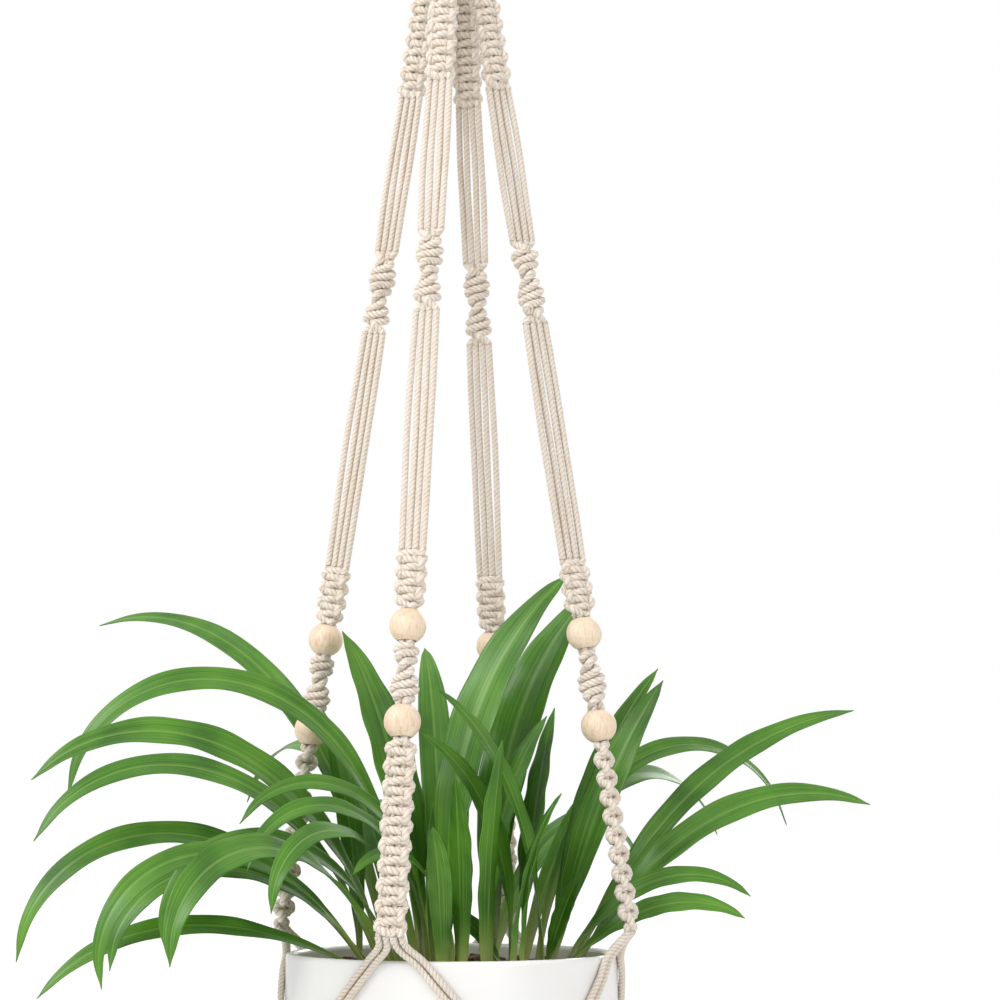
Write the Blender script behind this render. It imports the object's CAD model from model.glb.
# %% [markdown]
# # A hanging macrame planter
# Cotton cords hang from a wooden ring, are knotted into four arms with wooden beads, and meet in a net
# that carries a glazed pot with two leafy plants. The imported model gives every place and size. Here each
# plain solid is replaced by what it stands for: real cords in real knots, turned beads, bark and leaves.

# %% The frame
import math
import random

import bmesh
import bpy
import numpy as np
from mathutils import Matrix, Vector, noise


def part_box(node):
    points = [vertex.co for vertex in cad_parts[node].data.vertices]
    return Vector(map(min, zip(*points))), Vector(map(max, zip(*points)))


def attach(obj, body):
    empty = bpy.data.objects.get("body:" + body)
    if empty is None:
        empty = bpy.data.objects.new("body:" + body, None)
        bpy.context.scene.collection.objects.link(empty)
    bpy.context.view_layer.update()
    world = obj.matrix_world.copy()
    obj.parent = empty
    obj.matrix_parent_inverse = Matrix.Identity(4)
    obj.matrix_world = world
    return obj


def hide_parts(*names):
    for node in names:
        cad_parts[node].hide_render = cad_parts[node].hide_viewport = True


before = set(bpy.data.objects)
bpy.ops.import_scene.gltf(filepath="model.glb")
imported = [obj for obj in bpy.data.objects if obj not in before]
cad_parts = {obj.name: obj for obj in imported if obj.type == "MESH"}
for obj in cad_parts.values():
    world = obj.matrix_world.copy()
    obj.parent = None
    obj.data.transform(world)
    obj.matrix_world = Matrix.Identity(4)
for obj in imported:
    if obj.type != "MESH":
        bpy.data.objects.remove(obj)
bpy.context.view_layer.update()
bpy.ops.object.select_all(action="DESELECT")
print("CAD nodes:", len(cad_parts))

# %% [markdown]
# ## The camera
# The planter is seen from a little to the right of its front arm, from just above the pot's rim, so the
# camera looks slightly upwards. A long lens keeps the arms nearly parallel.

# %% Camera
TURN, DISTANCE, ASIDE = math.radians(17), 1.314, 0.027
EYE_Z, PITCH_UP, LENS = -0.62, math.radians(7.92), 82.8

camera_data = bpy.data.cameras.new("camera")
camera_data.lens = LENS
camera = bpy.data.objects.new("camera", camera_data)
bpy.context.scene.collection.objects.link(camera)
away = Vector((math.sin(TURN), -math.cos(TURN), 0))
across = Vector((math.cos(TURN), math.sin(TURN), 0))
camera.location = away * DISTANCE + across * ASIDE + Vector((0, 0, EYE_Z))
camera.rotation_euler = (math.pi / 2 + PITCH_UP, 0, TURN)
bpy.context.scene.camera = camera

# %% [markdown]
# ## Sizes
# Everything below is in millimetres, as a maker would note it, and becomes metres only when a mesh is
# made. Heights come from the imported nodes. The lengths down an arm are the plain measures of the hanger.

# %% Sizes from the frame
MM = 0.001


def top_of(node):
    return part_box(node)[1][2] / MM


def foot_of(node):
    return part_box(node)[0][2] / MM


CORD = 4.0
PITCH = CORD + 0.1        # from one cord's middle to its neighbour's
ROW = [-1.5 * PITCH, -0.5 * PITCH, 0.5 * PITCH, 1.5 * PITCH]
KNOT_T = 2 * CORD + 1     # thickness of a sennit
BEAD_LEN = 17.5
CLEAR = 0.3               # from the pot's wall to the cords of the net

# Sixteen cords make a round bundle, four inside twelve. Each arm has four of them, given here as degrees
# from the arm's own direction and the distance from the middle.
INNER, OUTER = 0.71 * PITCH, 1.94 * PITCH
BUNDLE = [(-30, OUTER), (-15, INNER), (0, OUTER), (30, OUTER)]
bundle_r = OUTER + CORD / 2
pot_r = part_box("pot")[1][0] / MM
rim_z, pot_z = top_of("pot"), foot_of("pot")
wrap_z, wrap_end_z = top_of("top_wrap"), foot_of("top_wrap")
gather_z, gather_end_z = top_of("bottom_wrap"), foot_of("bottom_wrap")
soil_z = top_of("soil")
print("rim at", round(rim_z, 1), "and pot foot at", round(pot_z, 1))

# %% Sizes down an arm
STRETCHES = {"top_sennit": 82, "upper_cords": 93, "upper_spiral": 50, "lower_cords": 139, "middle_sennit": 34,
             "upper_bead": BEAD_LEN, "bead_spiral": 35, "lower_bead": BEAD_LEN, "bottom_sennit": 105}
ARMS = {"arm_front": -90, "arm_right": 0, "arm_back": 90, "arm_left": 180}
ROLLS = {"arm_front": 0, "arm_right": -50, "arm_back": 0, "arm_left": 80}   # down to the lower bead
SPREAD = 10               # height in which the bundle parts into the arms
arm_len = sum(STRETCHES.values())
arm_top_r, arm_top_z = bundle_r + KNOT_T / 2 + 0.2, wrap_end_z - SPREAD
arm_end_r = pot_r + 6 + KNOT_T / 2
arm_tilt = math.asin((arm_end_r - arm_top_r) / arm_len)
arm_end_z = arm_top_z - arm_len * math.cos(arm_tilt)


def down_to(stretch):
    names = list(STRETCHES)
    return sum(STRETCHES[n] for n in names[:names.index(stretch)])


def on_arm(angle, roll=0):
    """Where an arm's own frame lies: x out from the planter, y across the arm, z up along it."""
    return (Matrix.Rotation(math.radians(angle), 4, "Z")
            @ Matrix.Translation((arm_top_r, 0, arm_top_z))
            @ Matrix.Rotation(-arm_tilt, 4, "Y") @ Matrix.Rotation(math.radians(roll), 4, "Z"))


def placed(points, matrix):
    """Points moved by a matrix."""
    m = np.array(matrix)
    return np.asarray(points, float) @ m[:3, :3].T + m[:3, 3]


print("arms end at", round(arm_end_z, 1), "tilted by", round(math.degrees(arm_tilt), 2), "degrees")

# %% [markdown]
# ## One cord
# The cord is three strands twisted round each other. Seen end on it is a clover leaf, and that outline
# turns steadily as it goes along. Blender sweeps such an outline along a curve when it is the curve's
# bevel object, and each point's tilt turns it. Turned into a mesh, the cord has true ridges that catch
# the light, which a bump on a smooth tube wouldn't give at its edges.

# %% The cord's outline
RIDGES = [1.0, 0.95, 0.85, 0.95] * 3
outline = bpy.data.curves.new("cord_outline", "CURVE")
loop = outline.splines.new("POLY")
loop.points.add(len(RIDGES) - 1)
for i, ridge in enumerate(RIDGES):
    angle = 2 * math.pi * i / len(RIDGES)
    r = ridge * CORD / 2 * MM
    loop.points[i].co = (r * math.cos(angle), r * math.sin(angle), 0, 1)
loop.use_cyclic_u = True
cord_outline = bpy.data.objects.new("cord_outline", outline)
bpy.context.collection.objects.link(cord_outline)

# %% Curves through points
RING_STEP = 0.8           # from one ring of the cord's mesh to the next
LAY = 8                   # length in which the strands go once round


def bend(points, step=RING_STEP):
    """A smooth line through points chosen by hand."""
    p = np.array(points, float)
    gaps = np.linalg.norm(np.diff(p, axis=0), axis=1)
    slopes = np.gradient(p, np.r_[0, gaps.cumsum()], axis=0)
    line = []
    for a, b, va, vb, gap in zip(p[:-1], p[1:], slopes[:-1], slopes[1:], gaps):
        t = np.linspace(0, 1, max(3, int(gap / step)), endpoint=False)[:, None]
        line.append((1 + 2 * t) * (1 - t) ** 2 * a + t * (1 - t) ** 2 * gap * va
                    + t * t * (3 - 2 * t) * b + t * t * (t - 1) * gap * vb)
    return np.vstack(line + [p[-1:]])


def even(line, step=RING_STEP):
    """The same line with its points a step apart, and its length."""
    s = np.r_[0, np.linalg.norm(np.diff(line, axis=0), axis=1).cumsum()]
    at = np.linspace(0, s[-1], max(3, int(round(s[-1] / step)) + 1))
    return np.column_stack([np.interp(at, s, line[:, i]) for i in range(3)]), s[-1]


# %% Twisting the cord along its lines
def select_only(piece):
    bpy.ops.object.select_all(action="DESELECT")
    piece.select_set(True)
    bpy.context.view_layer.objects.active = piece


END_LEN, EASE_LEN = 14, 6     # where a loose end opens out, and where a cord thins to its pressed size
NEXT_TWIST = 2.1              # turns each cord's strands against its neighbour's


def cord_mesh(name, lines, flare=0.0, snug=1.0):
    """One mesh of a cord along each line. flare widens its loose lower end, and snug thins pressed cord."""
    snugs = np.broadcast_to(snug, len(lines))
    data = bpy.data.curves.new(name, "CURVE")
    data.dimensions, data.bevel_mode, data.bevel_object = "3D", "OBJECT", cord_outline
    data.use_fill_caps, data.twist_mode = True, "MINIMUM"
    lengths = []
    for number, line in enumerate(lines):
        points, length = even(line)
        lengths.append(length)
        spline = data.splines.new("POLY")
        spline.points.add(len(points) - 1)
        s = np.linspace(0, length, len(points))
        end = np.clip((s - length + END_LEN) / END_LEN, 0, 1) ** 2
        pressed = np.clip(s / EASE_LEN, 0, 1) * np.clip((length - s) / EASE_LEN, 0, 1)
        width = (1 - (1 - snugs[number]) * pressed) * (1 + flare * end)
        spline.points.foreach_set("co", np.c_[points * MM, np.ones(len(points))].astype("f").ravel())
        spline.points.foreach_set("tilt", (2 * math.pi * s / LAY + NEXT_TWIST * number).astype("f"))
        spline.points.foreach_set("radius", width.astype("f"))
    piece = bpy.data.objects.new(name, data)
    bpy.context.collection.objects.link(piece)
    select_only(piece)
    bpy.ops.object.convert(target="MESH")
    close_ends(piece)
    scale_uv(piece, np.mean(lengths) / LAY)
    return piece


def close_ends(piece):
    bpy.ops.object.mode_set(mode="EDIT")
    bpy.ops.mesh.select_all(action="SELECT")
    bpy.ops.mesh.remove_doubles(threshold=1e-6)
    bpy.ops.mesh.normals_make_consistent(inside=False)
    bpy.ops.object.mode_set(mode="OBJECT")
    bpy.ops.object.shade_smooth()


def scale_uv(piece, turns):
    """The map's first way counts turns of the strands, and its second goes once round the cord."""
    layer = piece.data.uv_layers[0]
    uv = np.empty(len(piece.data.loops) * 2, "f")
    layer.data.foreach_get("uv", uv)
    uv[0::2] *= turns
    layer.data.foreach_set("uv", uv)


# %% [markdown]
# ## Finishes
# Each finish is a Principled shader whose colour, roughness and bump come from patterns. Cord patterns
# follow the cord's own map, so the fibres run along the strands however the cord is bent.

# %% Helpers for finishes
def new_finish(name, roughness, **sockets):
    finish = bpy.data.materials.new(name)
    finish.use_nodes = True
    shader = finish.node_tree.nodes["Principled BSDF"]
    shader.inputs["Roughness"].default_value = roughness
    for socket, value in sockets.items():
        shader.inputs[socket.replace("_", " ")].default_value = value
    return finish, finish.node_tree, shader


def node(tree, kind, values=(), **settings):
    made = tree.nodes.new(kind)
    for key, value in settings.items():
        setattr(made, key, value)
    for key, value in dict(values).items():
        if isinstance(value, bpy.types.NodeSocket):
            tree.links.new(value, made.inputs[key])
        else:
            made.inputs[key].default_value = value
    return made


def maths(tree, operation, a, b=0.0):
    return node(tree, "ShaderNodeMath", {0: a, 1: b}, operation=operation).outputs[0]


def ramp(tree, factor, stops):
    made = node(tree, "ShaderNodeValToRGB", {0: factor})
    for element, (place, colour) in zip(made.color_ramp.elements, (stops[0], stops[-1])):
        element.position, element.color = place, (*colour, 1)
    for place, colour in stops[1:-1]:
        made.color_ramp.elements.new(place).color = (*colour, 1)
    return made.outputs[0]


def mix(tree, factor, a, b, blend="MIX"):
    made = node(tree, "ShaderNodeMix", data_type="RGBA", blend_type=blend)
    for key, value in ((0, factor), (6, a), (7, b)):
        if isinstance(value, bpy.types.NodeSocket):
            tree.links.new(value, made.inputs[key])
        else:
            made.inputs[key].default_value = value if key == 0 else (*value, 1)
    return made.outputs[2]


def pattern(tree, vector, scale, detail=3.0, rough=0.5, stretch=(1, 1, 1)):
    if stretch != (1, 1, 1):
        vector = node(tree, "ShaderNodeMapping", {0: vector, "Scale": stretch}).outputs[0]
    return node(tree, "ShaderNodeTexNoise", {"Vector": vector, "Scale": scale, "Detail": detail,
                                             "Roughness": rough}).outputs["Fac"]


def bump(tree, shader, height, strength, distance):
    made = node(tree, "ShaderNodeBump", {"Strength": strength, "Distance": distance, "Height": height})
    tree.links.new(made.outputs[0], shader.inputs["Normal"])


# %% Cotton cord
IVORY, TAN = (0.90, 0.83, 0.74), (0.70, 0.59, 0.48)


def cotton_finish():
    finish, tree, shader = new_finish("cotton_cord", 0.92, Sheen_Weight=0.25, Sheen_Roughness=0.5)
    place = node(tree, "ShaderNodeTexCoord")
    uv = node(tree, "ShaderNodeSeparateXYZ", {0: place.outputs["UV"]})
    angle = maths(tree, "MULTIPLY", uv.outputs[1], 2 * math.pi)
    round_x, round_y = maths(tree, "COSINE", angle), maths(tree, "SINE", angle)
    along = maths(tree, "MULTIPLY", uv.outputs[0], 0.8)
    strand = node(tree, "ShaderNodeCombineXYZ", {0: round_x, 1: round_y, 2: along}).outputs[0]
    fibres = pattern(tree, strand, 9.0, detail=4, rough=0.65)
    groove = maths(tree, "COSINE", maths(tree, "MULTIPLY", uv.outputs[1], 6 * math.pi))
    yarn = ramp(tree, maths(tree, "MULTIPLY_ADD", groove, 0.5), [(0, TAN), (0.42, IVORY), (1, IVORY)])
    stain = pattern(tree, place.outputs["Object"], 55, detail=2)
    shade = ramp(tree, stain, [(0.3, (0.97, 0.94, 0.91)), (0.62, (1, 1, 1))])
    lint = ramp(tree, fibres, [(0.3, (0.93, 0.90, 0.87)), (0.6, (1, 1, 1))])
    coloured = mix(tree, 1.0, mix(tree, 1.0, yarn, shade, "MULTIPLY"), lint, "MULTIPLY")
    tree.links.new(coloured, shader.inputs["Base Color"])
    bump(tree, shader, fibres, 0.5, 0.0005)
    return finish


cotton = cotton_finish()

# %% [markdown]
# ## The tassel
# Sixteen cords leave the lower wrapping and hang free. They are limp, so each drops straight down and
# only drifts outwards a little. Their routes are chosen by hand, and every cord is its own piece.

# %% The tassel's routes
# TASSEL_FALL is [how far down, share of the drift] at each point of a route, and TASSEL_ENDS is
# [drift outwards, drift aside, how much longer] for each strand.
TASSEL_LEN, FRAY = 190, 0.22
tassel_z = max(top_of(f"tassel_strand_{n:02d}") for n in range(1, 17))
TASSEL_FALL = [[0, 0], [12, 0], [24, 0.05], [36, 0.15], [48, 0.25], [60, 0.35], [72, 0.45], [84, 0.5],
               [96, 0.55], [108, 0.65], [120, 0.7], [132, 0.8], [144, 0.85], [156, 0.9], [168, 0.95], [190, 1]]
TASSEL_ENDS = [[5, 2, 0], [1, 0, -6], [7, 3, 3], [11, -2, -3], [4, -3, 2], [2, 1, -5], [8, -2, 4], [12, 1, 0],
               [6, 1, -4], [1, -1, 1], [5, 2, 5], [11, 2, -2], [9, 1, 3], [2, 0, -6], [12, 2, 2], [8, -1, -1]]


def strand_route(n):
    turn, r0 = BUNDLE[n % 4]
    a = math.radians(list(ARMS.values())[n // 4] + 45 + turn)
    out, aside, longer = TASSEL_ENDS[n]
    scale = (TASSEL_LEN + longer) / TASSEL_FALL[-1][0]
    route = []
    for fall, share in TASSEL_FALL:
        r, side = r0 + out * share, aside * share
        route.append((r * math.cos(a) - side * math.sin(a), r * math.sin(a) + side * math.cos(a),
                      tassel_z - fall * scale))
    return route


# %% The tassel's cords
def tassel_strand(n):
    name = f"tassel_strand_{n + 1:02d}"
    route = strand_route(n)
    line = bend(route)
    piece = cord_mesh("cord_" + name, [line], flare=FRAY)
    length = np.linalg.norm(np.diff(line, axis=0), axis=1).sum() * MM
    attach(piece, "tassel")
    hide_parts(name)
    piece.data.materials.append(cotton)
    return length


lengths = [tassel_strand(n) for n in range(16)]
print("tassel cords from", round(min(lengths), 3), "to", round(max(lengths), 3), "m")

# %% [markdown]
# ## Knots
# A square knot is two cords tied round two straight ones. Each tying cord crosses the front or the back,
# goes round the other at the side and comes back, so its path is a few sines of how far the tying has
# got. Tied one way only, the same knot winds round into a spiral. Each stretch of an arm is worked out
# once, in the arm's own frame, and copied to the four arms.

# %% The four cords at the end of a stretch
FLAT = [(0, y) for y in ROW]
PACKED = [(0.7072 * PITCH * math.cos(a), 0.7072 * PITCH * math.sin(a))
          for a in map(math.radians, (225, 315, 135, 45))]
REACH = {"flat": 4.5, "packed": 6.0, "turned": 9.0}   # how far into a stretch its end is felt
FILLER = 0.42 * PITCH                                 # half the distance between the two straight cords


def smooth(t):
    t = np.clip(t, 0, 1)
    return t * t * (3 - 2 * t)


def eased(lines, length, first, last):
    """Lines of [out, across, how far down], led from and to the places where other stretches end."""
    starts, stops = (PACKED if end == "packed" else FLAT for end in (first, last))
    led = []
    for line, start, stop in zip(lines, starts, stops):
        begins = smooth(line[:, 2] / REACH[first])[:, None]
        ends = smooth((length - line[:, 2]) / REACH[last])[:, None]
        flat = line[:, :2] * begins * ends + (1 - begins) * start + (1 - ends) * stop
        led.append(np.c_[flat, line[:, 2]])
    return led


# %% Square knots
SIDE, DEPTH, LOCK = 6.5, 2.6, 0.34     # how far the tying cords swing out, how deep, and how tight they lie


def square_knots(length, knots, first="flat", last="flat", depth=1.0):
    """The four cords of a run of square knots, as lines of [out, across, how far down]."""
    t = np.linspace(0, 2 * knots, 36 * knots + 1)
    down = length / (2 * knots) * (t + LOCK * np.sin(2 * np.pi * t))
    out = depth * (0.2 - DEPTH * np.cos(2 * np.pi * t))
    across = -SIDE * np.cos(np.pi * t)
    straight = np.linspace(0, length, 12)
    still = np.zeros(12)
    lines = [np.c_[out, across, down], np.c_[still, still - FILLER, straight],
             np.c_[still, still + FILLER, straight], np.c_[-out, -across, down]]
    return eased(lines, length, first, last)


# %% Half knots that wind round
HALF_KNOT, WINDING_SIDE, WINDING_DEPTH = 4.6, 6.2, 2.5


def half_knots(length, turn, first="turned", last="turned"):
    """The four cords of a spiral, which winds round by turn degrees."""
    count = round(length / HALF_KNOT)
    t = np.linspace(0, count, 18 * count + 1)
    down, wound = length * t / count, -math.radians(turn) * (1 - t / count)
    side, depth = WINDING_SIDE * np.cos(np.pi * t), WINDING_DEPTH * np.sin(np.pi * t)
    ways = [(-side, depth), (0 * t - FILLER, 0 * t), (0 * t + FILLER, 0 * t), (side, -depth)]
    lines = [np.c_[u * np.cos(wound) - v * np.sin(wound), u * np.sin(wound) + v * np.cos(wound), down]
             for u, v in ways]
    return eased(lines, length, first, last)


# %% Loose cords, and cords through the beads
BELLY, BOW, WANDER = 0.1, 0.5, 0.25    # how much loose cords part, bow outwards and wander sideways


def loose_cords(length, sway):
    """Four cords side by side that hang a little unevenly. sway makes one stretch unlike the next."""
    s = np.linspace(0, length, 24)
    middle = np.sin(np.pi * s / length)
    lines = []
    for i, y in enumerate(ROW):
        out = BOW * middle * math.sin(2.3 * i + sway)
        aside = WANDER * np.sin(2 * np.pi * s / length + 1.9 * i + sway) * middle
        lines.append(np.c_[out, y * (1 + BELLY * middle) + aside, s])
    return lines


def through_beads(length, turn):
    """Four cords through a bead, round in a spiral, and through the next bead."""
    threaded = []
    for line, place in zip(half_knots(length, turn, "packed", "packed"), PACKED):
        threaded.append(np.vstack([np.r_[place, 0], np.r_[place, BEAD_LEN - 1], line + (0, 0, BEAD_LEN),
                                   np.r_[place, BEAD_LEN + length + 1], np.r_[place, 2 * BEAD_LEN + length]]))
    return threaded


# %% The stretches of an arm
TIED = [1.16, 0.95, 0.95, 1.16]        # the tying cords are fluffed up, and the straight ones are pressed
STRETCH_LINES = {
    "top_sennit": (square_knots(STRETCHES["top_sennit"], 8), TIED),
    "upper_cords": (loose_cords(STRETCHES["upper_cords"], 0.4), 1.0),
    "upper_spiral": (half_knots(STRETCHES["upper_spiral"], 360), TIED),
    "lower_cords": (loose_cords(STRETCHES["lower_cords"], 2.0), 1.0),
    "middle_sennit": (square_knots(STRETCHES["middle_sennit"], 4, "flat", "packed"), TIED),
    "bead_spiral": (through_beads(STRETCHES["bead_spiral"], 270), TIED),
    "bottom_sennit": (square_knots(STRETCHES["bottom_sennit"], 10, "packed", "flat"), TIED),
}


def in_metres(matrix):
    scaled = matrix.copy()
    scaled.translation *= MM
    return scaled


def copy_to(pattern_piece, name, matrix):
    """A copy with its own mesh, its place in the mesh."""
    piece = pattern_piece.copy()
    piece.name, piece.data = name, pattern_piece.data.copy()
    piece.data.transform(in_metres(matrix))
    bpy.context.collection.objects.link(piece)
    return piece


def hang(piece, body, slot, finish, *nodes):
    """Says what a finished piece moves with, what it is made of and which plain solids it replaces."""
    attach(piece, body)
    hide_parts(*nodes)
    piece.data.materials.clear()
    piece.data.materials.append(finish)


for stretch, (lines, snug) in STRETCH_LINES.items():
    start = "upper_bead" if stretch == "bead_spiral" else stretch
    turned = [line * (1, 1, -1) - (0, 0, down_to(start)) for line in lines]
    model = cord_mesh("model_" + stretch, turned, snug=snug)
    for arm, angle in ARMS.items():
        place = on_arm(angle, 0 if stretch == "bottom_sennit" else ROLLS[arm])
        hang(copy_to(model, f"{arm}_{stretch}_cord", place), "hanger", "cord", cotton, f"{arm}_{stretch}")
    print(stretch, len(model.data.polygons), "faces on each arm")
    bpy.data.objects.remove(model)

# %% [markdown]
# ## Fold and wrappings
# Eight long cords fold over the ring's bar, in two layers, so sixteen ends hang down. A wrapping gathers
# them into a round bundle, and below it four cords go to each arm. A wrapping is one cord wound in a helix.

# %% The fold over the ring
BAR_R, RING_R = 4.5, 25.5
bar_z = foot_of("wooden_ring") + BAR_R
fold_in = BAR_R + RING_R - math.sqrt(RING_R ** 2 - (2 * CORD) ** 2) + 0.5
fold_foot = bar_z - fold_in - 0.4
# Each folded cord is [layer, column] over the bar, and degrees and distance from the middle below it.
SLOTS = {(1, 0): (150, OUTER), (1, 1): (120, OUTER), (1, 2): (90, OUTER), (1, 3): (60, OUTER),
         (0, 0): (165, INNER), (0, 1): (75, INNER), (0, 2): (30, OUTER), (0, 3): (0, OUTER)}


def slot_place(layer, column, side):
    """Where a folded cord goes in the round bundle on one side of the bar."""
    turn, r = SLOTS[layer, column if side > 0 else 3 - column]
    a = math.radians(turn if side > 0 else turn + 180)
    return r * math.cos(a), r * math.sin(a)


def folded_line(layer, column):
    x, r = (column - 1.5) * CORD, fold_in + (layer + 0.5) * CORD
    legs = []
    for side in (1, -1):
        sx, sy = slot_place(layer, column, side)
        legs.append([(sx, sy, wrap_z - 8), (sx, sy, wrap_z - 1),
                     (x, side * r, fold_foot + 1.5), (x, side * r, bar_z)])
    over = [(x, r * math.cos(a), bar_z + r * math.sin(a)) for a in np.linspace(0, np.pi, 9)[1:-1]]
    return bend(legs[0] + over + legs[1][::-1])


# %% Down to the arms
def spread_line(arm, i):
    turn, r = BUNDLE[i]
    a = math.radians(ARMS[arm] + turn)
    x, y = r * math.cos(a), r * math.sin(a)
    foot = placed([(0, ROW[i], 0.2), (0, ROW[i], 2.5)], on_arm(ARMS[arm], ROLLS[arm]))
    return bend([(x, y, wrap_end_z + 8), (x, y, wrap_end_z + 1), tuple(foot[1]), tuple(foot[0])])


fold = cord_mesh("fold_cords", [folded_line(layer, column) for layer in (0, 1) for column in range(4)]
                 + [spread_line(arm, i) for arm in ARMS for i in range(4)])
hang(fold, "hanger", "cord", cotton, "folded_cords")
print("the fold has", len(fold.data.polygons), "faces")


# %% Wrappings
TUCK = (0.72, 0.72, 1)


def wrapping(name, top, foot, node_name):
    """One cord wound round the bundle, its two ends tucked in under the turns."""
    r = bundle_r + 0.1 + CORD / 2
    turns = (top - foot - CORD) / (CORD + 0.08)
    t = np.linspace(0, 1, int(turns * 48))
    a = 2 * np.pi * turns * t - np.pi / 3
    line = np.c_[r * np.cos(a), r * np.sin(a), top - CORD / 2 - (top - foot - CORD) * t]
    piece = cord_mesh(name, [np.vstack([line[0] * TUCK - (0, 0, 1), line, line[-1] * TUCK + (0, 0, 1)])])
    hang(piece, "hanger", "cord", cotton, node_name)
    print(name, "has", round(turns, 1), "turns")


wrapping("top_wrap_cord", wrap_z, wrap_end_z, "top_wrap")
wrapping("bottom_wrap_cord", gather_z, gather_end_z, "bottom_wrap")

# %% [markdown]
# ## The net
# Below the rim each arm parts into two and two. The cords run down the pot's side, meet those of the next
# arm in a square knot half way round, go on under the pot, and gather into one bundle.

# %% Sizes of the net
net_r = pot_r + CLEAR + CORD / 2
net_arc = net_r * math.pi / 2
knot_z, knot_end_z = top_of("net_knots"), foot_of("net_knots")
net_drop = arm_end_z - knot_z
KNEE, POT_EDGE = 3, 14        # where a net cord turns aside, and the radius of the pot's foot edge
net_slope = math.atan((net_arc / 2 - 2 * PITCH) / (net_drop - 2 * KNEE))
net_shift = PITCH / 2 * math.tan(net_slope / 2)
gather_in = gather_z + CORD / 2 + 0.6
gather_slope = math.atan((pot_z - gather_in) / (pot_r - POT_EDGE))


def round_pot(s, r, z):
    """The place s round the pot's side from an arm, at distance r from its axis."""
    return r * math.cos(s / net_r), r * math.sin(s / net_r), z


# %% From the arms to the net's knots
def net_route(lead):
    """A cord that parts from an arm to one side. lead is -1 for the one nearer the arm's middle, 1 for the other."""
    s0, s1 = PITCH * (1 + lead / 2), net_arc / 2 - PITCH * (1 - lead / 2)
    z0, z1 = arm_end_z - KNEE + lead * net_shift, knot_z + KNEE + lead * net_shift
    route = [round_pot(s0, arm_end_r, arm_end_z), round_pot(s0, arm_end_r - 0.9, arm_end_z - 1.7)]
    for i in range(8):
        t = i / 7
        z = z0 + (z1 - z0) * t
        above = max(0, (z - rim_z) / (arm_end_z - rim_z))
        route.append(round_pot(s0 + (s1 - s0) * t, net_r + (arm_end_r - net_r) * above, z))
    return route + [round_pot(s1, net_r, knot_z)]


def mirrored(points):
    return [(x, -y, z) for x, y, z in points]


upper_net = [placed(bend(mirrored(net_route(lead)) if mirror else net_route(lead)),
                    Matrix.Rotation(math.radians(angle), 4, "Z"))
             for angle in ARMS.values() for mirror in (False, True) for lead in (-1, 1)]
hang(cord_mesh("net_upper_cord", upper_net), "hanger", "cord", cotton, "net_upper_cords")


# %% The net's knots
def net_knot_lines(angle):
    """The four cords of one knot, which come in from the wall and go back to it."""
    centre, height = pot_r + CLEAR + KNOT_T / 2, knot_z - knot_end_z
    matrix = Matrix.Rotation(math.radians(angle + 45), 4, "Z")
    led = []
    for out, across, down in (line.T for line in square_knots(height, 2, depth=0.9)):
        inwards = (1 - smooth(down / 4)) + (1 - smooth((height - down) / 4))
        led.append(placed(np.c_[out + centre - (centre - net_r) * inwards, across, knot_z - down], matrix))
    return led


knot_lines = [line for angle in ARMS.values() for line in net_knot_lines(angle)]
hang(cord_mesh("net_knot_cord", knot_lines, snug=TIED * 4), "hanger", "cord", cotton, "net_knots")


# %% Under the pot
def under_route(i):
    """A cord from a knot down the pot's side, round its foot edge and inwards to the bundle."""
    y, (turn, r) = (i - 1.5) * PITCH, BUNDLE[i]
    rise = PITCH if i == 1 else 0
    ex, ey = r * math.cos(math.radians(turn)), r * math.sin(math.radians(turn))
    x = math.sqrt(net_r ** 2 - y * y)
    edge_x, edge_z = x - net_r + pot_r - POT_EDGE, pot_z + POT_EDGE
    edge_r = net_r - pot_r + POT_EDGE
    stop = math.pi / 2 - gather_slope
    x1, z1 = edge_x + edge_r * math.cos(stop), edge_z - edge_r * math.sin(stop)
    fall = (z1 - gather_in) / (x1 - ex)
    route = [(x, y, knot_end_z), (x, y, (knot_end_z + edge_z) / 2)]
    route += [(edge_x + edge_r * math.cos(a), y, edge_z - edge_r * math.sin(a)) for a in np.linspace(0, stop, 5)]
    route += [(d, y, gather_in + fall * (d - ex) + rise * (x1 - d) / (x1 - 20)) for d in (50, 20)]
    return route + [(ex + 4, ey * 0.8 + y * 0.2, gather_in + fall * 4 + rise), (ex, ey, gather_in - 1.2 + rise),
                    (ex, ey, gather_z - 5), (ex, ey, gather_end_z)]


lower_net = [placed(bend(under_route(i)), Matrix.Rotation(math.radians(angle + 45), 4, "Z"))
             for angle in ARMS.values() for i in range(4)]
under = cord_mesh("net_lower_cord", lower_net)
hang(under, "hanger", "cord", cotton, "net_lower_cords")
print("the cords under the pot have", len(under.data.polygons), "faces")

bpy.data.objects.remove(cord_outline)

# %% [markdown]
# ## Wooden beads and ring
# A bead is turned from pale wood: nearly a ball, with a hole wide enough for four cords and a softened
# lip where the drill came out. It starts as a sphere whose poles are cut away at the width of the hole.
# The ring's plain shape is already right, so it keeps its mesh and gets the wood.


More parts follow.
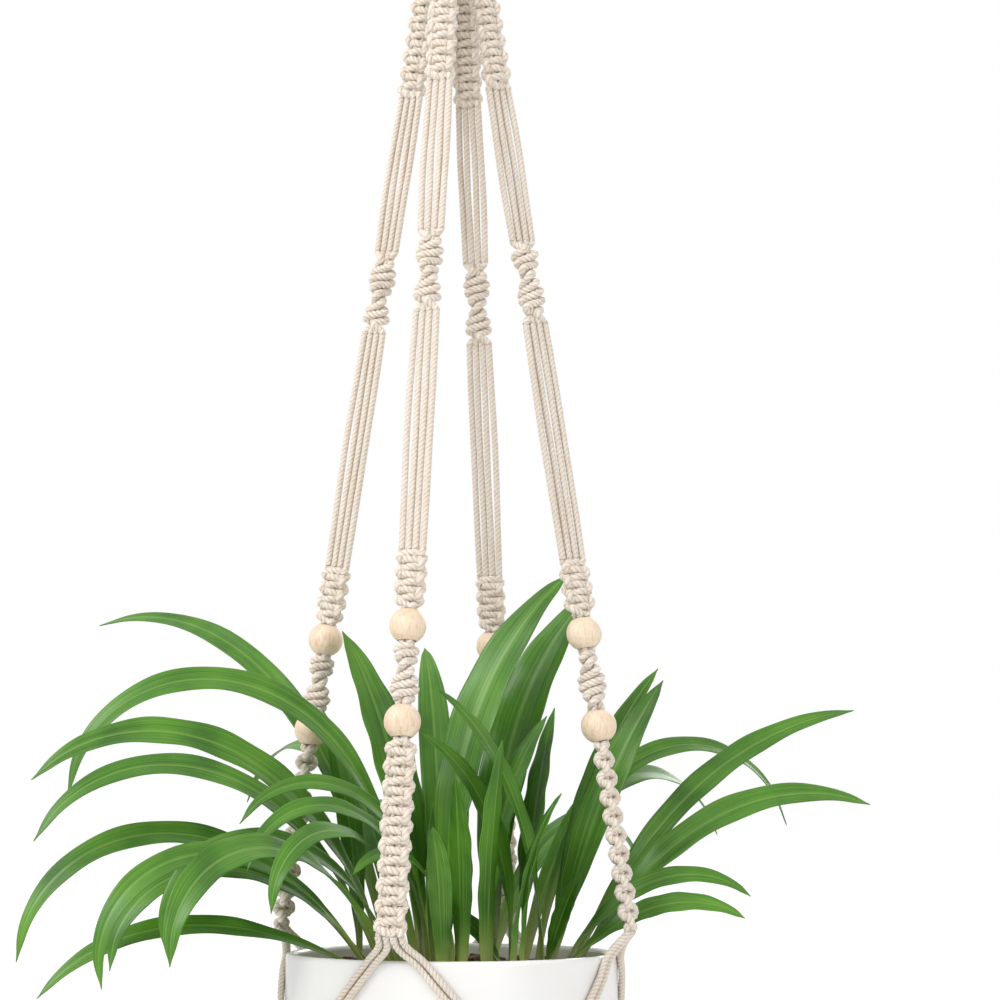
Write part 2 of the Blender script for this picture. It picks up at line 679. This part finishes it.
# %% Wood
def wood_finish(name, pale, warm, stretch, roughness, scale):
    finish, tree, shader = new_finish(name, roughness, Coat_Weight=0.12, Coat_Roughness=0.35)
    place = node(tree, "ShaderNodeTexCoord").outputs["Object"]
    bands = pattern(tree, place, scale, detail=5, rough=0.6, stretch=stretch)
    pores = pattern(tree, place, scale * 9, detail=3, stretch=stretch)
    between = tuple((a + b) / 2 for a, b in zip(pale, warm))
    colour = ramp(tree, bands, [(0.3, warm), (0.5, between), (0.68, pale)])
    fleck = ramp(tree, pores, [(0.36, (0.88, 0.83, 0.78)), (0.5, (1, 1, 1))])
    tree.links.new(mix(tree, 1.0, colour, fleck, "MULTIPLY"), shader.inputs["Base Color"])
    bump(tree, shader, pores, 0.18, 0.0003)
    return finish


bead_wood = wood_finish("pale_bead_wood", (0.86, 0.72, 0.55), (0.78, 0.59, 0.42), (1, 1, 0.18), 0.45, 90)
ring_wood = wood_finish("ring_wood", (0.79, 0.57, 0.36), (0.60, 0.38, 0.20), (0.25, 1, 1), 0.42, 70)
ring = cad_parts["wooden_ring"]
ring.data.materials.clear()
ring.data.materials.append(ring_wood)

# %% One bead
BEAD_R, BORE_R, LIP = 10.0, 5.0, 0.55
NEXT_BEAD = 1.9           # turns the grain of the lower bead against the upper one's


def edit(piece):
    select_only(piece)
    bpy.ops.object.mode_set(mode="EDIT")
    return bmesh.from_edit_mesh(piece.data)


def pick(mesh, items, test):
    """Selects only the edges or faces that pass the test."""
    for kind in (mesh.faces, mesh.edges, mesh.verts):
        for item in kind:
            item.select_set(False)
    mesh.select_mode = {"EDGE"} if items is mesh.edges else {"FACE"}
    for item in items:
        if test(item):
            item.select_set(True)
    mesh.select_flush_mode()


def turned_bead():
    bpy.ops.mesh.primitive_uv_sphere_add(segments=64, ring_count=40, radius=BEAD_R * MM)
    bead = bpy.context.active_object
    flat = math.sqrt(BEAD_R ** 2 - BORE_R ** 2) * MM
    for way in (1, -1):
        edit(bead)
        bpy.ops.mesh.select_all(action="SELECT")
        bpy.ops.mesh.bisect(plane_co=(0, 0, way * flat), plane_no=(0, 0, way), clear_outer=True)
        bpy.ops.object.mode_set(mode="OBJECT")
    mesh = edit(bead)
    bpy.ops.mesh.select_mode(type="EDGE")
    pick(mesh, mesh.edges, lambda e: e.is_boundary)
    bpy.ops.mesh.bridge_edge_loops(number_cuts=4)
    mesh = bmesh.from_edit_mesh(bead.data)
    pick(mesh, mesh.edges, lambda e: all(abs(abs(v.co.z) - flat) < 1e-5 for v in e.verts))
    bpy.ops.mesh.bevel(offset=LIP * MM, segments=4)
    bpy.ops.mesh.select_all(action="SELECT")
    bpy.ops.mesh.normals_make_consistent(inside=False)
    bpy.ops.object.mode_set(mode="OBJECT")
    bpy.ops.object.shade_smooth()
    return bead


bead = turned_bead()
print("a bead has", len(bead.data.polygons), "faces and is", round(bead.dimensions.z / MM, 1), "mm long")

# %% Two beads on each arm
for arm, angle in ARMS.items():
    pair = []
    for number, stretch in enumerate(("upper_bead", "lower_bead")):
        place = (on_arm(angle) @ Matrix.Translation((0, 0, -down_to(stretch) - BEAD_LEN / 2))
                 @ Matrix.Rotation(NEXT_BEAD * number + angle, 4, "Z"))
        pair.append(copy_to(bead, f"{arm}_{stretch}_wood", place))
    select_only(pair[0])
    pair[1].select_set(True)
    bpy.ops.object.join()
    pair[0].name = f"{arm}_turned_beads"
    hang(pair[0], "hanger", "bead_wood", bead_wood, f"{arm}_beads")
bpy.data.objects.remove(bead)

# %% [markdown]
# ## The pot and its soil
# The pot is plain white glaze, so its gloss does the work: a sharp coat over a slightly uneven body.
# The soil is coarse bark, a mound of chips on a rough dark surface, and only its top shows.


# %% Glaze
def glaze_finish():
    finish, tree, shader = new_finish("white_glaze", 0.22, Coat_Weight=0.7, Coat_Roughness=0.05, IOR=1.5)
    place = node(tree, "ShaderNodeTexCoord").outputs["Object"]
    cloud = pattern(tree, place, 14, detail=2)
    tree.links.new(ramp(tree, cloud, [(0.3, (0.80, 0.79, 0.765)), (0.7, (0.86, 0.855, 0.84))]),
                   shader.inputs["Base Color"])
    bump(tree, shader, pattern(tree, place, 32, detail=2), 0.12, 0.0006)
    return finish


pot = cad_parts["pot"]
pot.data.materials.clear()
pot.data.materials.append(glaze_finish())


# %% Bark
def bark_finish():
    finish, tree, shader = new_finish("bark_soil", 0.95)
    place = node(tree, "ShaderNodeTexCoord").outputs["Object"]
    lumps, grain = pattern(tree, place, 130, detail=5), pattern(tree, place, 700, detail=3)
    colour = ramp(tree, lumps, [(0.3, (0.035, 0.02, 0.012)), (0.5, (0.12, 0.065, 0.035)),
                                (0.7, (0.27, 0.16, 0.09))])
    specks = ramp(tree, grain, [(0.3, (0.6, 0.6, 0.6)), (0.6, (1, 1, 1))])
    tree.links.new(mix(tree, 1.0, colour, specks, "MULTIPLY"), shader.inputs["Base Color"])
    bump(tree, shader, grain, 0.6, 0.001)
    return finish


bark = bark_finish()

# %% The soil's body
CHIP_COUNT = 260
MOUND, FOOT_EDGE, INSET = 2, 11, 8.5
soil_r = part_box("soil")[1][0] / MM
soil_foot = foot_of("soil")


def soil_body():
    """A plug that fills the pot, its top made of rings whose points are raised unevenly."""
    bpy.ops.mesh.primitive_cylinder_add(vertices=96, radius=soil_r * MM, depth=(soil_z + MOUND - soil_foot) * MM,
                                        location=(0, 0, (soil_z + MOUND + soil_foot) / 2 * MM))
    body = bpy.context.active_object
    bpy.ops.object.transform_apply(location=True)
    mesh = edit(body)
    bpy.ops.mesh.select_mode(type="EDGE")
    pick(mesh, mesh.edges, lambda e: all(abs(v.co.z - soil_foot * MM) < 1e-5 for v in e.verts))
    bpy.ops.mesh.bevel(offset=FOOT_EDGE * MM, segments=5)
    mesh = bmesh.from_edit_mesh(body.data)
    bpy.ops.mesh.select_mode(type="FACE")
    pick(mesh, mesh.faces, lambda f: f.normal.z > 0.9 and f.calc_center_median().z > (soil_z + 1) * MM)
    for _ in range(9):
        bpy.ops.mesh.inset(thickness=INSET * MM)
    bpy.ops.mesh.select_all(action="DESELECT")
    mesh = bmesh.from_edit_mesh(body.data)
    for vert in mesh.verts:
        r = math.hypot(vert.co.x, vert.co.y)
        if vert.co.z > (soil_z + 1) * MM and r < soil_r * MM - 1e-5:
            vert.co.z += (noise.noise(vert.co * 60) * 1.6 + 1.0) * MM
    bmesh.update_edit_mesh(body.data)
    bpy.ops.object.mode_set(mode="OBJECT")
    return body


# %% Bark chips
def chip(draw):
    """A flat, uneven block with broken corners, somewhere on the soil."""
    bpy.ops.mesh.primitive_cube_add(size=1)
    piece = bpy.context.active_object
    r = (soil_r - 9) * math.sqrt(draw.random())
    a = draw.uniform(0, 2 * math.pi)
    long = draw.uniform(5, 11)
    size = (long, long * draw.uniform(0.45, 0.8), draw.uniform(1.8, 3.2))
    turn = (Matrix.Rotation(draw.uniform(0, math.pi), 4, "Z") @ Matrix.Rotation(draw.uniform(-0.25, 0.25), 4, "X")
            @ Matrix.Rotation(draw.uniform(-0.2, 0.2), 4, "Y"))
    edit(piece)
    bpy.ops.mesh.bevel(offset=0.16, segments=1)
    mesh = bmesh.from_edit_mesh(piece.data)
    for vert in mesh.verts:
        vert.co = Vector(vert.co[i] * size[i] * (1 + 0.25 * noise.noise(vert.co * 3 + Vector((a, r, long))))
                         for i in range(3))
    bmesh.update_edit_mesh(piece.data)
    bpy.ops.object.mode_set(mode="OBJECT")
    place = Matrix.Translation((r * math.cos(a), r * math.sin(a), soil_z + draw.uniform(3, 5.5))) @ turn
    piece.data.transform(in_metres(place) @ Matrix.Scale(MM, 4))
    return piece


draw = random.Random(7)
body = soil_body()
chips = [chip(draw) for _ in range(CHIP_COUNT)]
select_only(body)
for piece in chips:
    piece.select_set(True)
bpy.ops.object.join()
body.name = "bark_chips"
hang(body, "pot", "bark_soil", bark, "soil")
print("the soil reaches", round(max(v.co.z for v in body.data.vertices) / MM - soil_z, 2), "mm over its top")

# %% [markdown]
# ## Leaves
# Each leaf is a long blade that rises from the soil and bends over under its own weight. It is folded
# a little along its midrib, and its edges wave. A flat grid is laid along the leaf's own line, and a thin
# wall is given to it afterwards. The map runs across and along the blade, for the veins.

# %% The leaves' places
# Each leaf is [x, y, direction, length, rise, droop, width], its base in the pot first.
# PLANT_TURN turns all of them, BEND_POWER keeps a leaf straight near its base, and FACE_TURN turns the
# faces of the leaves that go sideways towards the front.
PLANT_TURN, BEND_POWER, LEAF_STEPS, FACE_TURN = 17, 1.7, 12, 50
ACROSS = (-1, -0.72, -0.4, 0, 0.4, 0.72, 1)
FOLD, WAVE, SINK, BLADE = 0.30, 0.06, 0.12, 0.7
WIDTHS = [0.35, 0.45, 0.55, 0.68, 0.8, 0.9, 0.97, 1, 0.97, 0.88, 0.7, 0.45, 0.12]
LEFT_LEAVES = [
    [-34, 15, 147, 345, 74, -14, 16], [-28, -10, 190, 330, 88, -88, 19], [-34, -14, 194, 275, 71, -48, 22],
    [-38, -20, 200, 265, 68, -64, 17], [-42, -14, 198, 262, 53, -88, 17], [-44, -22, 204, 200, 54, -92, 17],
    [-28, -24, 207, 210, 66, -106, 16], [-42, -46, 207, 225, 57, -108, 16], [-12, -26, 215, 190, 84, -80, 14],
    [-40, -31, 196, 200, 26, -52, 14], [-18, -32, 232, 185, 76, -92, 16], [-32, -42, 225, 215, 60, -98, 22],
    [-14, -18, 205, 190, 90, -60, 13], [1, -38, 225, 120, 86, -50, 13], [-17, 5, 182, 200, 86, 60, 30],
    [-8, 8, 74, 130, 80, 60, 24], [-30, 24, 125, 270, 76, -60, 17], [-16, 28, 104, 240, 66, -70, 17],
    [-8, 47, 98, 225, 88, 25, 20], [-52, 2, 172, 150, 88, 70, 16], [-4, -62, 262, 90, 86, 40, 14],
]
RIGHT_LEAVES = [
    [-2, -8, 10, 245, 92, 40, 29], [25, 14, 12, 232, 93, 45, 32], [56, 19, 22, 190, 80, 48, 17],
    [56, 10, 12, 180, 76, 54, 22], [66, 12, 11, 238, 61, 6, 17], [48, 25, 27, 272, 80, -76, 14],
    [68, 2, 3, 213, 58, -22, 19], [60, -5, -3, 133, 58, -42, 13], [60, -10, -6, 118, 46, -34, 14],
    [50, -18, 203, 175, 88, 35, 19], [32, -22, 195, 150, 92, 30, 19], [40, 2, 345, 150, 88, 74, 22],
    [40, -34, 330, 105, 92, 50, 17], [20, -6, 352, 150, 90, 54, 21], [52, -12, 5, 60, 76, 60, 12],
    [30, 4, 184, 50, 60, 30, 12], [40, 28, 45, 250, 72, -65, 17], [20, 32, 55, 220, 60, -60, 17],
    [20, -44, 300, 130, 90, 70, 18], [34, -56, 318, 100, 86, 50, 14], [6, -40, 250, 110, 90, 76, 16],
]


# %% A leaf's own line
def leaf_line(length, rise, droop):
    """How far out and how high the midrib is at each step, and its lean there."""
    out, up, step = [0.0], [0.0], length / LEAF_STEPS
    for i in range(LEAF_STEPS):
        lean = math.radians(rise + (droop - rise) * ((i + 0.5) / LEAF_STEPS) ** BEND_POWER)
        out.append(out[-1] + step * math.cos(lean))
        up.append(up[-1] + step * math.sin(lean))
    return np.array(out), np.array(up)


def leaf_grid(row, number):
    """Rows of points along a leaf and seven across it, in the frame."""
    x, y, direction, length, rise, droop, width = row
    line = bend(np.column_stack([*leaf_line(length, rise, droop), np.zeros(LEAF_STEPS + 1)]), step=length / 80)
    line, _ = even(line, length / 64)
    t = np.linspace(0, 1, len(line))
    half = width / 2 * np.interp(t, np.linspace(0, 1, len(WIDTHS)), WIDTHS)
    half = np.convolve(np.r_[[half[0]] * 3, half, [half[-1]] * 3], np.ones(7) / 7, "valid")
    half = half * (1 - 0.9 * smooth((t - 0.955) / 0.045))
    way = np.gradient(line, axis=0)
    way /= np.linalg.norm(way, axis=1)[:, None]
    above = np.c_[-way[:, 1], way[:, 0]]
    a = math.radians(direction + PLANT_TURN)
    base = Matrix.Rotation(math.radians(PLANT_TURN), 3, "Z") @ Vector((x, y, 0))
    grid = []
    turn = math.radians(FACE_TURN * math.cos(math.radians(direction))) * np.minimum(1, t * LEAF_STEPS / 5)
    for share in ACROSS:
        fold = FOLD * half * abs(share) ** 0.8 * (1 - 0.5 * t)
        wave = WAVE * half * abs(share) ** 2 * np.sin(2 * np.pi * (5 + number % 3) * t + 2 * share + number)
        rise_by, side_by = fold + wave - SINK * half, share * half
        lift = (rise_by * np.cos(turn) + side_by * np.sin(turn))[:, None] * above
        out, up = line[:, 0] + lift[:, 0], line[:, 1] + lift[:, 1]
        side = side_by * np.cos(turn) - rise_by * np.sin(turn)
        grid.append(np.c_[base.x + out * math.cos(a) - side * math.sin(a),
                          base.y + out * math.sin(a) + side * math.cos(a), soil_z + 0.1 + up])
    return np.array(grid)


# %% A plant
def plant(name, rows, node_name):
    """All leaves of one plant as one piece, with a thin wall and rounded edges."""
    verts, faces, uvs = [], [], []
    for number, row in enumerate(rows):
        grid = leaf_grid(row, number)
        across_count, along_count = grid.shape[:2]
        first = len(verts)
        verts += [tuple(p * MM) for line in grid for p in line]
        for j in range(across_count - 1):
            for i in range(along_count - 1):
                a, b = first + j * along_count + i, first + (j + 1) * along_count + i
                faces.append((a, b, b + 1, a + 1))
                uvs += [(u / (across_count - 1) + number, v / (along_count - 1))
                        for u, v in ((j, i), (j + 1, i), (j + 1, i + 1), (j, i + 1))]
    mesh = bpy.data.meshes.new(name)
    mesh.from_pydata(verts, [], faces)
    mesh.uv_layers.new(name="UVMap").data.foreach_set("uv", np.array(uvs, "f").ravel())
    piece = bpy.data.objects.new(name, mesh)
    bpy.context.collection.objects.link(piece)
    select_only(piece)
    wall = piece.modifiers.new("wall", "SOLIDIFY")
    wall.thickness, wall.offset = BLADE * MM, 0
    bpy.ops.object.modifier_apply(modifier="wall")
    smoother = piece.modifiers.new("rounder", "SUBSURF")
    smoother.levels = smoother.render_levels = 1
    bpy.ops.object.modifier_apply(modifier="rounder")
    bpy.ops.object.mode_set(mode="EDIT")
    bpy.ops.mesh.select_all(action="SELECT")
    bpy.ops.mesh.normals_make_consistent(inside=False)
    bpy.ops.object.mode_set(mode="OBJECT")
    bpy.ops.object.shade_smooth()
    hang(piece, "plant", "leaf", leaf_green, node_name)
    print(name, "has", len(rows), "leaves and", len(piece.data.polygons), "faces")


# %% Leaf green
def leaf_finish():
    finish, tree, shader = new_finish("leaf_green", 0.42, Coat_Weight=0.12, Coat_Roughness=0.3,
                                      Specular_IOR_Level=0.35)
    place = node(tree, "ShaderNodeTexCoord")
    uv = node(tree, "ShaderNodeSeparateXYZ", {0: place.outputs["UV"]})
    u, v = maths(tree, "FRACT", uv.outputs[0]), uv.outputs[1]
    stripes = node(tree, "ShaderNodeCombineXYZ", {0: maths(tree, "MULTIPLY", uv.outputs[0], 22),
                                                  1: maths(tree, "MULTIPLY", v, 1.5)}).outputs[0]
    veins = pattern(tree, stripes, 1.0, detail=4, rough=0.6)
    off_rib = maths(tree, "ABSOLUTE", maths(tree, "SUBTRACT", u, 0.5))
    green = ramp(tree, veins, [(0.3, (0.035, 0.13, 0.008)), (0.5, (0.07, 0.215, 0.015)),
                               (0.7, (0.13, 0.32, 0.03))])
    cloud = pattern(tree, place.outputs["Object"], 28, detail=2)
    shade = ramp(tree, cloud, [(0.3, (0.55, 0.62, 0.5)), (0.5, (0.9, 0.92, 0.85)), (0.7, (1.25, 1.15, 1.0))])
    green = mix(tree, 1.0, green, shade, "MULTIPLY")
    along = ramp(tree, v, [(0.0, (0.62, 0.64, 0.22)), (0.3, (0.24, 0.42, 0.07))])
    base_share = node(tree, "ShaderNodeMapRange", {0: v, 1: 0.0, 2: 0.28, 3: 0.85, 4: 0.0}).outputs[0]
    rib_share = node(tree, "ShaderNodeMapRange", {0: off_rib, 1: 0.01, 2: 0.05, 3: 0.4, 4: 0.0}).outputs[0]
    coloured = mix(tree, base_share, green, (0.5, 0.5, 0.2))
    tree.links.new(along, coloured.node.inputs[7])
    ribbed = mix(tree, rib_share, coloured, (0.24, 0.42, 0.09))
    tree.links.new(ribbed, shader.inputs["Base Color"])
    bump(tree, shader, veins, 0.25, 0.0004)
    return finish


leaf_green = leaf_finish()

# %% Both plants
plant("left_plant_leaves", LEFT_LEAVES, "plant_left")
plant("right_plant_leaves", RIGHT_LEAVES, "plant_right")

# %% [markdown]
# ## Light and room
# A pale floor lies well below the tassel. White soft light comes from the upper left and fills from the
# right, and the room behind is plain white. Seen straight on, the floor glows a little, so it meets the
# white room without a line, while it lights the planter from below as an ordinary pale floor does.

# %% Floor
FLOOR_SIZE, FLOOR_Z, FLOOR_GLOW = 80, -1.32, 0.35
bpy.ops.mesh.primitive_grid_add(x_subdivisions=24, y_subdivisions=24, size=FLOOR_SIZE, location=(0, 0, FLOOR_Z))
floor = bpy.context.active_object
floor.name = "studio_floor"
floor_finish, floor_tree, floor_shader = new_finish("studio_floor", 0.8)
floor_place = node(floor_tree, "ShaderNodeTexCoord").outputs["Object"]
pale_grey = ramp(floor_tree, pattern(floor_tree, floor_place, 3, detail=2),
                 [(0.3, (0.84, 0.84, 0.84)), (0.7, (0.88, 0.88, 0.88))])
floor_tree.links.new(pale_grey, floor_shader.inputs["Base Color"])
floor_shader.inputs["Emission Color"].default_value = (1, 1, 1, 1)
direct = node(floor_tree, "ShaderNodeLightPath").outputs["Is Camera Ray"]
glow = node(floor_tree, "ShaderNodeMapRange", {0: direct, 3: 0.0, 4: FLOOR_GLOW}).outputs[0]
floor_tree.links.new(glow, floor_shader.inputs["Emission Strength"])
floor.data.materials.append(floor_finish)

# %% Lights
ROOM_LIGHT, ROOM_SEEN = 0.85, 1.0      # the room's strength as light, and as seen behind the planter
AIM = Vector((0, 0, -0.6))

world = bpy.data.worlds.new("white_room")
bpy.context.scene.world = world
world.use_nodes = True
room = world.node_tree
room_light = room.nodes["Background"]
room_light.inputs["Color"].default_value = (1, 1, 1, 1)
seen = node(room, "ShaderNodeLightPath").outputs["Is Camera Ray"]
strength = node(room, "ShaderNodeMapRange", {0: seen, 3: ROOM_LIGHT, 4: ROOM_SEEN}).outputs[0]
room.links.new(strength, room_light.inputs["Strength"])
bpy.context.scene.view_settings.view_transform = "Standard"


def softbox(name, place, size, power):
    data = bpy.data.lights.new(name, "AREA")
    data.energy, data.size = power, size
    lamp = bpy.data.objects.new(name, data)
    bpy.context.scene.collection.objects.link(lamp)
    lamp.location = place
    lamp.rotation_euler = (AIM - lamp.location).to_track_quat("-Z", "Y").to_euler()


softbox("key_light", (-1.1, -1.5, 0.7), 0.9, 26)
softbox("fill_light", (1.9, -1.3, -0.2), 1.2, 9)
softbox("back_light", (0.3, 2.0, 0.3), 1.0, 10)
